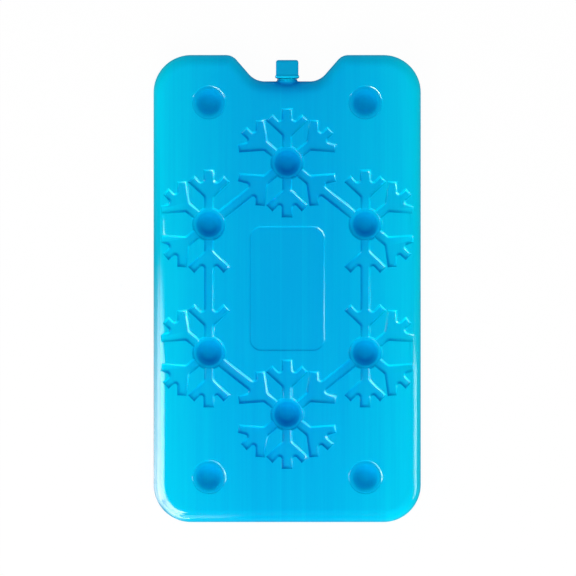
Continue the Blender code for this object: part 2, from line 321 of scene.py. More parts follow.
def soften(piece: bpy.types.Object, sharp_angle: float) -> None:
    """Shades a piece smooth, with its flat faces kept flat.

    Args:
        piece: The finished piece.
        sharp_angle: Edges sharper than this stay sharp, in degrees.
    """
    piece.data.shade_smooth()
    piece.data.set_sharp_from_angle(angle=math.radians(sharp_angle))
    weighted = piece.modifiers.new("flat_faces", "WEIGHTED_NORMAL")
    weighted.keep_sharp = True
    weighted.weight = FLAT_FACE_WEIGHT


def spin_round(bm: bmesh.types.BMesh, line: list[Place], centre: Place, axis: Place, steps: int) -> None:
    """Turns a line all round an axis.

    Args:
        bm: The mesh that gets the form.
        line: The points of the line.
        centre: A point on the axis.
        axis: The axis's direction.
        steps: How many flats the form has round.
    """
    verts = [bm.verts.new(point) for point in line]
    edges = [bm.edges.new(pair) for pair in zip(verts, verts[1:])]
    bmesh.ops.spin(bm, geom=verts + edges, cent=centre, axis=axis, angle=math.tau, steps=steps, use_merge=True)


def turned(name: str, profile: list[Pair | Vector], centre: Vector, steps: int) -> bpy.types.Object:
    """A round form about an axis along Y.

    Args:
        name: The object's name.
        profile: The radius and the height along the axis of each point.
        centre: The point on the axis that the heights start from.
        steps: How many flats it has round.

    Returns:
        The object.
    """
    bm = bmesh.new()
    line = [centre + Vector((radius, height, 0.0)) for radius, height in profile]
    spin_round(bm, line, centre, Vector((0.0, 1.0, 0.0)), steps)
    return mesh_object(bm, name)


@dataclass(frozen=True)
class Prong:
    """A straight finger of a snowflake. A bar has an open tip, where its neighbour's bar carries on."""

    tip: Pair
    heading: float
    width: float
    taper: float = 0.0
    open_tip: bool = False

    def edges(self, grow: float) -> tuple[Line, Line]:
        """Its two side edges, as seen from its root.

        Args:
            grow: How far the finger is grown all round.

        Returns:
            The tip corner and the direction of the right edge, and of the left edge.
        """
        along = heading_vector(self.heading)
        aside = Vector((-along.y, along.x))
        tip = Vector(self.tip) + along * (0.0 if self.open_tip else grow)
        half = self.width / 2 + grow
        right = (tip - aside * half, heading_vector(self.heading + self.taper))
        left = (tip + aside * half, heading_vector(self.heading - self.taper))
        return right, left

    def mirrored(self, flip_x: bool, flip_y: bool) -> "Prong":
        """The finger on the other side of X = 0, of Y = 0, or of both.

        Args:
            flip_x: Whether it changes sides across the flake.
            flip_y: Whether it changes sides along the flake.

        Returns:
            The mirrored finger.
        """
        x, y = self.tip
        heading = self.heading
        if flip_x:
            x, heading = -x, 180.0 - heading
        if flip_y:
            y, heading = -y, -heading
        return Prong((x, y), heading, self.width, self.taper)


Arm = tuple[float, list[Prong]]


@dataclass(frozen=True)
class Recess:
    """The walls of a moulded recess: how deep it is, how far its wall runs in, how its two edges are rounded, and
    the margin of its floor, which falls away a little.
    """

    depth: float
    wall_spread: float
    rim_radius: float
    floor_radius: float
    margin: float = 0.0
    margin_drop: float = 0.02 * MM
    rim_steps: int = 4
    floor_steps: int = 4
    clearance: float = 0.5 * MM
    sill: float = 0.002 * MM

    @property
    def slope(self) -> float:
        """The wall's slope, in degrees."""
        return math.degrees(math.atan2(self.depth, self.wall_spread))

    @property
    def grow(self) -> float:
        """How far outside the drawn rim its rounding starts."""
        return self.rim_radius * math.tan(math.radians(self.slope) / 2)

    def steps(self) -> list[Pair]:
        """The steps of the wall, from the rim to the floor.

        Returns:
            How far each step goes inward and how far it drops.
        """
        rim = fillet_steps(self.rim_radius, self.slope, self.rim_steps, True)
        foot = fillet_steps(self.floor_radius, self.slope, self.floor_steps, False)
        drop = self.depth - sum(step[1] for step in rim + foot)
        margin = [(self.margin, self.margin_drop)] if self.margin else []
        return rim + [(drop / math.tan(math.radians(self.slope)), drop)] + foot + margin

    def cutter(self, name: str, outlines: list[list[Vector]], surface: float) -> bpy.types.Object:
        """The form that cuts the recess.

        Args:
            name: The cutter's name.
            outlines: Its rim, grown by the start of its rounding, in touching parts.
            surface: The height of the face that it cuts.

        Returns:
            The cutter.
        """
        bm = bmesh.new()
        for outline in outlines:
            flat_face(bm, outline, surface + self.clearance)
        bmesh.ops.remove_doubles(bm, verts=bm.verts, dist=MERGE_DISTANCE)
        extruded = bmesh.ops.extrude_face_region(bm, geom=bm.faces[:])["geom"]
        floors = [item for item in extruded if isinstance(item, bmesh.types.BMFace)]
        verts = [item for item in extruded if isinstance(item, bmesh.types.BMVert)]
        bmesh.ops.translate(bm, verts=verts, vec=(0, 0, -self.clearance - self.sill))
        for inward, drop in self.steps():
            step_in(bm, floors, inward, -drop)
        return mesh_object(bm, name)


@dataclass(frozen=True)
class SnowflakeRing:
    """Six recessed snowflakes joined by bars. The fingers are drawn for the quarter where x and y are positive."""

    recess: Recess = Recess(1.1 * MM, 0.8 * MM, 0.18 * MM, 0.85 * MM, 0.6 * MM)
    end_offset: float = 67.1 * MM
    side_offset: float = 34.3 * MM
    side_spacing: float = 83.5 * MM
    stem_width: float = 5.4 * MM
    fork_radius: float = 1.2 * MM
    shoulder_radius: float = 1.4 * MM
    fork_step_angle: float = 18.0
    end_bar_share: float = 0.65
    side_bar_share: float = 0.5
    spine: Prong = Prong((0.0, 29.2 * MM), 90.0, 6.0 * MM)
    spine_side: Prong = Prong((9.6 * MM, 24.3 * MM), 45.0, 5.0 * MM, -2.0)
    branch_upright: Prong = Prong((14.4 * MM, 22.9 * MM), 86.0, 5.1 * MM, 4.0)
    branch_middle: Prong = Prong((23.2 * MM, 17.5 * MM), 43.0, 4.8 * MM)
    branch_level: Prong = Prong((26.0 * MM, 7.7 * MM), -9.0, 4.5 * MM, 5.0)

    def bar(self, vector: Vector, share: float) -> Prong:
        """A share of the bar to a neighbouring flake.

        Args:
            vector: The way from this flake's centre to the neighbour's.
            share: How much of that way the bar covers.

        Returns:
            The bar.
        """
        heading = math.degrees(math.atan2(vector.y, vector.x))
        return Prong(tuple(vector * share), heading, self.stem_width, open_tip=True)

    def stem(self, heading: float) -> tuple[Line, Line]:
        """The stem that an arm grows on.

        Args:
            heading: The arm's heading, in degrees.

        Returns:
            Its right edge and its left edge.
        """
        right, left = Prong((0.0, 0.0), heading, self.stem_width).edges(0.0)
        aside = (left[0] - right[0]).normalized() * self.recess.grow
        return (right[0] - aside, right[1]), (left[0] + aside, left[1])

    def outline(self, arms: list[Arm]) -> list[Vector]:
        """The outline of one flake.

        Args:
            arms: The heading of each arm and its fingers from right to left, anticlockwise.

        Returns:
            The outline's points, about the flake's own centre.
        """
        grow = self.recess.grow
        corners = []
        for index, (heading, prongs) in enumerate(arms):
            stem_right, stem_left = self.stem(heading)
            _, last_left = self.stem(arms[index - 1][0])
            corners.append((*meeting_point(last_left, stem_right), 0.0))
            edges = [prong.edges(grow) for prong in prongs]
            branched = len(prongs) > 1
            if branched:
                corners.append((*meeting_point(stem_right, edges[0][0]), self.shoulder_radius - grow))
            for number, (right, left) in enumerate(edges):
                corners += [(*right[0], 0.0), (*left[0], 0.0)]
                if number + 1 < len(edges):
                    fork = meeting_point(left, edges[number + 1][0])
                    corners.append((*fork, self.fork_radius - grow))
            if branched:
                corners.append((*meeting_point(edges[-1][1], stem_left), self.shoulder_radius - grow))
        return rounded_outline(corners, self.fork_step_angle)

    def spine_arm(self, down: bool, bar: Prong | None = None) -> Arm:
        """The arm along the plate's length.

        Args:
            down: Whether it points to the far end.
            bar: The bar that takes the place of its middle finger.

        Returns:
            Its heading and its fingers.
        """
        middle = bar or self.spine.mirrored(False, down)
        fingers = [self.spine_side.mirrored(down, down), middle, self.spine_side.mirrored(not down, down)]
        return 270.0 if down else 90.0, fingers

    def branch_arm(
        self, angle: float, flip_x: bool, flip_y: bool, bar: Prong | None = None
    ) -> Arm:
        """A slanting arm.

        Args:
            angle: Its angle from the X axis, in degrees.
            flip_x: Whether it points to -X.
            flip_y: Whether it points to -Y.
            bar: The bar that takes the place of its middle finger.

        Returns:
            Its heading and its fingers.
        """
        fingers = [self.branch_level, self.branch_middle, self.branch_upright]
        fingers = [finger.mirrored(flip_x, flip_y) for finger in fingers]
        fingers[1] = bar or fingers[1]
        if flip_x != flip_y:
            fingers.reverse()
        heading = 180.0 - angle if flip_x else angle
        return -heading if flip_y else heading, fingers

    def arms(self, side: Side, end: End) -> list[Arm]:
        """The arms of one flake, anticlockwise.

        Args:
            side: Where the flake stands across the plate.
            end: The end that it is nearer to.

        Returns:
            The heading and the fingers of each arm.
        """
        toward = end.value
        to_side = Vector((self.side_spacing / 2, self.side_offset - self.end_offset))
        angle = math.degrees(math.atan2(-to_side.y, to_side.x))
        arms = []
        if side is Side.MIDDLE:
            right = self.bar(Vector((to_side.x, to_side.y * toward)), self.end_bar_share)
            left = self.bar(Vector((-to_side.x, to_side.y * toward)), self.end_bar_share)
            arms += [self.spine_arm(False), self.spine_arm(True)]
            for flip_x in (False, True):
                for flip_y in (False, True):
                    bar = left if flip_x else right
                    joined = flip_y == (toward > 0)
                    arms.append(self.branch_arm(angle, flip_x, flip_y, bar if joined else None))
        else:
            along = self.bar(Vector((0.0, -2 * self.side_offset * toward)), self.side_bar_share)
            across = Vector((-to_side.x * side.value, -to_side.y * toward))
            inward = self.bar(across, 1 - self.end_bar_share)
            arms.append(self.spine_arm(False, along if end is End.FAR else None))
            arms.append(self.spine_arm(True, along if end is End.NECK else None))
            arms += [self.branch_arm(angle, side is Side.LEFT, flip_y) for flip_y in (False, True)]
            arms.append((inward.heading, [inward]))
        return sorted(arms, key=lambda arm: arm[0] % 360)

    def centre(self, side: Side, end: End) -> Vector:
        """The centre of the flake that stands there.

        Args:
            side: Where the flake stands across the plate.
            end: The end that it is nearer to.

        Returns:
            The centre.
        """
        if side is Side.MIDDLE:
            return Vector((0.0, self.end_offset * end.value))
        return Vector((self.side_spacing / 2 * side.value, self.side_offset * end.value))

    def centres(self) -> list[Vector]:
        """The centres of all six flakes."""
        return [self.centre(side, end) for end in End for side in Side]

    def cutter(self, surface: float) -> bpy.types.Object:
        """The form that cuts the whole ring.

        Args:
            surface: The height of the face that it cuts.

        Returns:
            The cutter.
        """
        outlines = []
        for end in End:
            for side in Side:
                centre = self.centre(side, end)
                outlines.append([centre + point for point in self.outline(self.arms(side, end))])
        return self.recess.cutter("snowflake_ring", outlines, surface)


@dataclass(frozen=True)
class Panel:
    """The shallow panel with rounded corners inside the ring."""

    recess: Recess = Recess(0.5 * MM, 0.8 * MM, 0.15 * MM, 0.2 * MM)
    width: float = 40.4 * MM
    length: float = 66.8 * MM
    corner_radius: float = 6.4 * MM
    step_angle: float = 7.5

    def cutter(self, surface: float) -> bpy.types.Object:
        """The form that cuts the panel.

        Args:
            surface: The height of the face that it cuts.

        Returns:
            The cutter.
        """
        grow = self.recess.grow
        radius = self.corner_radius + grow
        rim = rounded_rectangle(self.width / 2 + grow, self.length / 2 + grow, radius, self.step_angle)
        return self.recess.cutter("panel", [rim], surface)


@dataclass(frozen=True)
class KissOffDimple:
    """A round dimple pressed into both faces until the two walls meet."""

    rim_diameter: float = 18.2 * MM
    rim_step: float = 0.35 * MM
    rim_spread: float = 0.45 * MM
    rim_radius: float = 0.3 * MM
    step_radius: float = 0.08 * MM
    shoulder_diameter: float = 13.4 * MM
    band_drop: float = 0.1 * MM
    shoulder_radius: float = 2.0 * MM
    foot_diameter: float = 7.6 * MM
    foot_radius: float = 3.6 * MM
    crown: float = 0.5 * MM
    crown_from: float = 0.5
    crown_from_height: float = 0.4
    web: float = 2.2 * MM
    arc_steps: int = 7
    crown_steps: int = 4
    steps: int = 72
    clearance: float = 0.4 * MM
    sill: float = 0.03 * MM
    sunk_slope: float = 0.45

    def profile(self, depth: float, sunk: float) -> list[Vector]:
        """Half the section of its cutter.

        Args:
            depth: How deep the middle of the dimple is.
            sunk: How deep the recess that it stands in is.

        Returns:
            The radius and the height over the face of each point, from above the face to the middle.
        """
        rim, shoulder, foot = self.rim_diameter / 2, self.shoulder_diameter / 2, self.foot_diameter / 2
        ledge = -sunk - self.rim_step
        corners = [
            (rim + 2 * self.rim_radius, self.sill, 0.0),
            (rim, 0.0, self.rim_radius),
            (rim - self.rim_spread - sunk * self.sunk_slope, ledge, self.step_radius),
            (shoulder, ledge - self.band_drop, self.shoulder_radius),
            (foot, self.crown - depth, self.foot_radius),
            (foot * self.crown_from, self.crown * self.crown_from_height - depth, 0.0),
        ]
        path = rounded_path(corners, self.arc_steps)
        last = path[-1]
        for step in range(1, self.crown_steps + 1):
            share = 1 - step / self.crown_steps
            path.append(Vector((last.x * share, -depth + (last.y + depth) * share * share)))
        return [Vector((0.0, self.clearance)), Vector((rim + 3 * self.rim_radius, self.clearance))] + path

    def cutters(self, places: list[tuple[Vector, float]], thickness: float) -> bpy.types.Object:
        """The form that cuts the dimples into the front and back faces.

        Args:
            places: The centre of each dimple, and how deep the recess round it is in the front face.
            thickness: The plate's thickness.

        Returns:
            The cutter.
        """
        bm = bmesh.new()
        depth = (thickness - self.web) / 2
        for centre, sunk in places:
            for surface, up in ((thickness, 1), (0.0, -1)):
                profile = self.profile(depth, sunk if up > 0 else 0.0)
                line = [(centre.x + radius, centre.y, surface + height * up) for radius, height in profile]
                spin_round(bm, line, (*centre, 0.0), (0, 0, 1), self.steps)
        return mesh_object(bm, "dimples")


@dataclass(frozen=True)
class FillerNeck:
    """The round neck in the notch, with the blind bore that takes the plug's stem."""

    diameter: float = 10.8 * MM
    bore: float = 7.0 * MM
    bore_depth: float = 9.0 * MM
    rise: float = 1.1 * MM
    root_radius: float = 0.7 * MM
    lip_radius: float = 0.3 * MM
    root: float = 7.0 * MM
    root_rounding: float = 0.7
    clearance: float = 1.0 * MM
    steps: int = 64
    arc_steps: int = 5

    def form(self, root: Vector) -> bpy.types.Object:
        """The neck, rounded into the plate.

        Args:
            root: Where its axis meets the notch's floor.

        Returns:
            The form that joins the plate.
        """
        radius = self.diameter / 2
        flare = radius + self.root_radius
        corners = [
            (0.0, self.rise, 0.0),
            (radius, self.rise, self.lip_radius),
            (radius, 0.0, self.root_radius * self.root_rounding),
            (flare, 0.0, 0.0),
            (flare, -self.root, 0.0),
            (0.0, -self.root, 0.0),
        ]
        return turned("filler_neck", rounded_path(corners, self.arc_steps), root, self.steps)

    def bore_cutter(self, root: Vector) -> bpy.types.Object:
        """The form that cuts the bore.

        Args:
            root: Where its axis meets the notch's floor.

        Returns:
            The cutter.
        """
        radius, above, floor = self.bore / 2, self.rise + self.clearance, self.rise - self.bore_depth
        return turned("neck_bore", [(0.0, above), (radius, above), (radius, floor), (0.0, floor)], root, self.steps)


class Board:
    """A node tree with short ways to add and join its nodes."""

    def __init__(self, tree: bpy.types.NodeTree) -> None:
        """Takes the tree that the nodes go into."""
        self.tree = tree

    def add(self, kind: str, group: bpy.types.ShaderNodeTree | None = None, **values: object) -> bpy.types.Node:
        """Adds a node.

        Args:
            kind: The node's type.
            group: The tree of a node group.
            values: What its input sockets are set to, by name.

        Returns:
            The node.
        """
        node = self.tree.nodes.new(kind)
        if group:
            node.node_tree = group
        for socket, value in values.items():
            node.inputs[socket.replace("_", " ")].default_value = value
        return node

    def link(self, start: Socket, end: Socket) -> None:
        """Joins an output to an input."""
        self.tree.links.new(start, end)

    def math(self, operation: str, *terms: Socket | float) -> Socket:
        """Works out a value.

        Args:
            operation: The Math node's operation.
            terms: Its terms, each a socket or a number.

        Returns:
            The socket with the result.
        """
        node = self.tree.nodes.new("ShaderNodeMath")
        node.operation = operation
        for socket, term in zip(node.inputs, terms):
            if isinstance(term, Socket):
                self.link(term, socket)
            else:
                socket.default_value = term
        return node.outputs[0]

    def object_axes(self) -> bpy.types.Node:
        """Splits the object coordinates.

        Returns:
            The node that puts out their X, Y and Z.
        """
        split = self.add("ShaderNodeSeparateXYZ")
        self.link(self.add("ShaderNodeTexCoord").outputs["Object"], split.inputs["Vector"])
        return split

    def remap(self, value: Socket, source: Pair, target: Pair, kind: str = "LINEAR") -> Socket:
        """Carries a value over from one range to another.

        Args:
            value: The socket with the value.
            source: Where its range starts and ends.
            target: Where the range that it is carried over to starts and ends.
            kind: How it runs in between.

        Returns:
            The socket with the result.
        """
        node = self.add("ShaderNodeMapRange")
        node.interpolation_type = kind
        self.link(value, node.inputs["Value"])
        for socket, level in zip(("From Min", "From Max", "To Min", "To Max"), (*source, *target)):
            node.inputs[socket].default_value = level
        return node.outputs["Result"]

    def ramp(self, value: Socket, start: float, end: float, power: float) -> Socket:
        """A value that grows from 0 where the input passes one level, through 1 at another, and on to RAMP_TOP.

        Args:
            value: The input.
            start: The input's level at 0.
            end: The input's level at 1.
            power: How it bends.

        Returns:
            The socket with the value.
        """
        share = self.math("DIVIDE", self.math("SUBTRACT", value, start), end - start)
        return self.math("POWER", self.math("MINIMUM", self.math("MAXIMUM", share, 0.0), RAMP_TOP), power)

    def blend(self, factor: Socket, under: Socket | Colour, over: Socket | Colour) -> Socket:
        """Mixes two colours.

        Args:
            factor: How much of the second colour shows.
            under: The first colour.
            over: The second colour.

        Returns:
            The socket with the mixed colour.
        """
        node = self.tree.nodes.new("ShaderNodeMix")
        node.data_type = "RGBA"
        self.link(factor, node.inputs[0])
        for socket, colour in ((node.inputs[6], under), (node.inputs[7], over)):
            if isinstance(colour, Socket):
                self.link(colour, socket)
            else:
                socket.default_value = (*colour, 1.0)
        return node.outputs[2]


def new_material(name: str) -> tuple[bpy.types.Material, Board, bpy.types.Node]:
    """A new material.

    Args:
        name: The material's name.

    Returns:
        The material, its nodes and its shader.
    """
    material = bpy.data.materials.new(name)
    material.use_nodes = True
    return material, Board(material.node_tree), material.node_tree.nodes["Principled BSDF"]


def new_group(name: str, inputs: tuple[str, ...], outputs: tuple[str, ...]) -> bpy.types.ShaderNodeTree:
    """An empty node group that takes a place and some numbers, and puts out numbers.

    Args:
        name: The group's name.
        inputs: The names of the numbers that it takes.
        outputs: The names of the numbers that it puts out.

    Returns:
        The group's tree.
    """
    tree = bpy.data.node_groups.new(name, "ShaderNodeTree")
    tree.interface.new_socket("Vector", in_out="INPUT", socket_type="NodeSocketVector")
    for direction, names in (("INPUT", inputs), ("OUTPUT", outputs)):
        for socket in names:
            tree.interface.new_socket(socket, in_out=direction, socket_type="NodeSocketFloat")
    return tree


@dataclass(frozen=True)
class StreakSheet:
    """The fine lines that the die leaves along the plate, as a node group shared by the plastics."""

    name: str = "die_streaks"
    fine_scale: float = 900.0
    broad_scale: float = 160.0
    along_scale: float = 9.0
    detail: float = 3.0
    noise_roughness: float = 0.6

    def group(self) -> bpy.types.ShaderNodeTree:
        """The node group, which is made once.

        Returns:
            The group, which puts out a value from 0 to 1 that changes across the plate.
        """
        found = bpy.data.node_groups.get(self.name)
        if found:
            return found
        tree = new_group(self.name, ("Fine Share",), ("Value",))
        board = Board(tree)
        entry, leave = board.add("NodeGroupInput"), board.add("NodeGroupOutput")
        values = []
        for scale in (self.broad_scale, self.fine_scale):
            placed = board.add("ShaderNodeMapping", Scale=(scale, self.along_scale, self.along_scale))
            board.link(entry.outputs["Vector"], placed.inputs["Vector"])
            noise = board.add("ShaderNodeTexNoise", Scale=1.0, Detail=self.detail, Roughness=self.noise_roughness)
            board.link(placed.outputs["Vector"], noise.inputs["Vector"])
            values.append(noise.outputs["Fac"])
        mix = board.add("ShaderNodeMix")
        board.link(entry.outputs["Fine Share"], mix.inputs["Factor"])
        board.link(values[0], mix.inputs["A"])
        board.link(values[1], mix.inputs["B"])
        board.link(mix.outputs["Result"], leave.inputs["Value"])
        return tree


@dataclass(frozen=True)
class MouldedSkin:
    """The slight waviness and orange peel of blown plastic, as a node group shared by the plastics."""

    name: str = "moulded_skin"
    wave_scale: float = 42.0
    peel_scale: float = 850.0
    detail: float = 2.0
    noise_roughness: float = 0.5

    def group(self) -> bpy.types.ShaderNodeTree:
        """The node group, which is made once.

        Returns:
            The group, which puts out a height in metres and a roughness mask.
        """
        found = bpy.data.node_groups.get(self.name)
        if found:
            return found
        tree = new_group(self.name, ("Wave Height", "Peel Height"), ("Height", "Mask"))
        board = Board(tree)
        entry, leave = board.add("NodeGroupInput"), board.add("NodeGroupOutput")
        heights, noises = [], []
        for scale, strength in ((self.wave_scale, "Wave Height"), (self.peel_scale, "Peel Height")):
            noise = board.add("ShaderNodeTexNoise", Scale=scale, Detail=self.detail, Roughness=self.noise_roughness)
            board.link(entry.outputs["Vector"], noise.inputs["Vector"])
            heights.append(board.math("MULTIPLY", noise.outputs["Fac"], entry.outputs[strength]))
            noises.append(noise.outputs["Fac"])
        board.link(board.math("ADD", *heights), leave.inputs["Height"])
        board.link(noises[0], leave.inputs["Mask"])
        return tree


@dataclass(frozen=True)
class Spot:
    """An oval place where the plastic's colour changes: its middle, how far it reaches and its tint."""

    middle: Pair
    reach: Pair
    tint: Colour

    def mask(self, board: Board, split: bpy.types.Node) -> Socket:
        """How near its middle a point is, from 0 to 1.

        Args:
            board: The material's nodes.
            split: The node with the point's X and Y.

        Returns:
            The socket with the mask.
        """
        squares = []
        for name, middle, reach in zip("XY", self.middle, self.reach):
            share = board.math("DIVIDE", board.math("SUBTRACT", split.outputs[name], middle), reach)
            squares.append(board.math("MULTIPLY", share, share))
        away = board.math("SQRT", board.math("ADD", *squares))
        return board.remap(away, (0.0, 1.0), (1.0, 0.0), "SMOOTHERSTEP")


@dataclass(frozen=True)
class BlownPlastic:
    """Translucent blown plastic with blue liquid behind it: lighter toward the long sides, and deeper where two walls
    meet, partly as painted shade. Painted shade darkens the recesses, and painted light and shade tint its edges,
    ledges and walls.
    """

    name: str
    core: Colour
    flank: Colour
    recess: Colour
    web: Colour
    # Painted light: a lighter tint on the plate's edge, on the ledges of the ring's dimples and on the plug's lip.
    glow: Colour = (1.0, 1.24, 1.12)
    # Painted light: a lighter tint on the recess walls that face a fixed heading, the main light's.
    wall: Colour = (1.0, 1.45, 1.14)
    # Painted shade: a darker tint on the recess walls that face away from the fixed heading, and in the dimples'
    # crescents.
    shaded_wall: Colour = (1.0, 0.60, 0.86)
    # Painted shade: a darker tint on the plate's left edge, where the sheen falls.
    sheen_shade: Colour = (1.0, 0.47, 0.55)
    end_share: float = 0.25
    end_reach: float = 125.0 * MM
    ior: float = 1.5
    specular: float = 0.2
    roughness: float = 0.1
    roughness_range: float = 0.03
    scatter: float = 0.15
    scatter_scale: float = 3.0 * MM
    scatter_radius: Colour = (0.2, 0.8, 1.0)
    flank_reach: float = 65.0 * MM
    flank_power: float = 2.3
    far_power: float = 3.0
    fine_share: float = 0.5
    streak_strength: float = 0.96
    streak_height: float = 0.004 * MM
    die_lines: tuple[float, ...] = ()
    die_line_width: float = 0.5 * MM
    die_line_share: float = 0.3
    spots: tuple[Spot, ...] = ()
    wave_height: float = 0.03 * MM
    peel_height: float = 0.0015 * MM

    def material(self) -> bpy.types.Material:
        """The finished material.

        Returns:
            The material.
        """
        material, board, shader = new_material(self.name)
        shader.inputs["IOR"].default_value = self.ior
        shader.inputs["Specular IOR Level"].default_value = self.specular
        shader.inputs["Subsurface Weight"].default_value = self.scatter
        shader.inputs["Subsurface Scale"].default_value = self.scatter_scale
        shader.inputs["Subsurface Radius"].default_value = self.scatter_radius
        place = board.add("ShaderNodeTexCoord").outputs["Object"]
        heights = {"Wave_Height": self.wave_height, "Peel_Height": self.peel_height}
        skin = board.add("ShaderNodeGroup", MouldedSkin().group(), **heights)
        streaks = board.add("ShaderNodeGroup", StreakSheet().group(), Fine_Share=self.fine_share)
        for node in (skin, streaks):
            board.link(place, node.inputs["Vector"])
        board.link(self.colour(board, place, streaks.outputs["Value"]), shader.inputs["Base Color"])
        spread = self.roughness_range / 2
        rough = board.remap(skin.outputs["Mask"], (0.0, 1.0), (self.roughness - spread, self.roughness + spread))
        board.link(rough, shader.inputs["Roughness"])
        lines = board.math("MULTIPLY", streaks.outputs["Value"], self.streak_height)
        bump = board.add("ShaderNodeBump", Strength=1.0, Distance=1.0)
        board.link(board.math("ADD", skin.outputs["Height"], lines), bump.inputs["Height"])
        board.link(bump.outputs["Normal"], shader.inputs["Normal"])
        return material

    def colour(self, board: Board, place: Socket, streaks: Socket) -> Socket:
        """The colour over the plate.

        Args:
            board: The material's nodes.
            place: The object coordinates.
            streaks: The die's streaks, from 0 to 1.

        Returns:
            The socket with the colour.
        """
        split = board.add("ShaderNodeSeparateXYZ")
        board.link(place, split.inputs["Vector"])
        share = board.math("DIVIDE", board.math("ABSOLUTE", split.outputs["X"]), self.flank_reach)
        flank = board.math("MINIMUM", board.math("POWER", share, self.flank_power), 1.0)
        far = board.math("MAXIMUM", board.math("DIVIDE", split.outputs["Y"], -self.end_reach), 0.0)
        flank = board.math("MULTIPLY_ADD", board.math("POWER", far, self.far_power), self.end_share, flank)
        lined = board.math("MULTIPLY_ADD", board.math("SUBTRACT", streaks, 0.5), self.streak_strength, flank)
        for place_x in self.die_lines:
            offset = board.math("ABSOLUTE", board.math("SUBTRACT", split.outputs["X"], place_x))
            line = board.remap(offset, (0.0, self.die_line_width), (self.die_line_share, 0.0), "SMOOTHSTEP")
            lined = board.math("ADD", lined, line)
        body = board.blend(board.math("MAXIMUM", lined, 0.0), self.core, self.flank)
        tints = [(spot.mask(board, split), spot.tint) for spot in self.spots]
        # Tints from the shell's masks, most of them painted light and painted shade.
        marks = (
            ("relief", self.recess),
            ("edge", self.wall),
            ("shade", self.shaded_wall),
            ("web", self.web),
            ("rim", self.glow),
            ("sheen_shade", self.sheen_shade),
        )
        for attribute, colour in marks:
            mask = board.add("ShaderNodeAttribute")
            mask.attribute_name = attribute
            tints.append((mask.outputs["Fac"], colour))
        for mask, colour in tints:
            tint = board.blend(mask, (1.0, 1.0, 1.0), colour)
            product = board.add("ShaderNodeVectorMath")
            product.operation = "MULTIPLY"
            board.link(body, product.inputs[0])
            board.link(tint, product.inputs[1])
            body = product.outputs["Vector"]
        return body


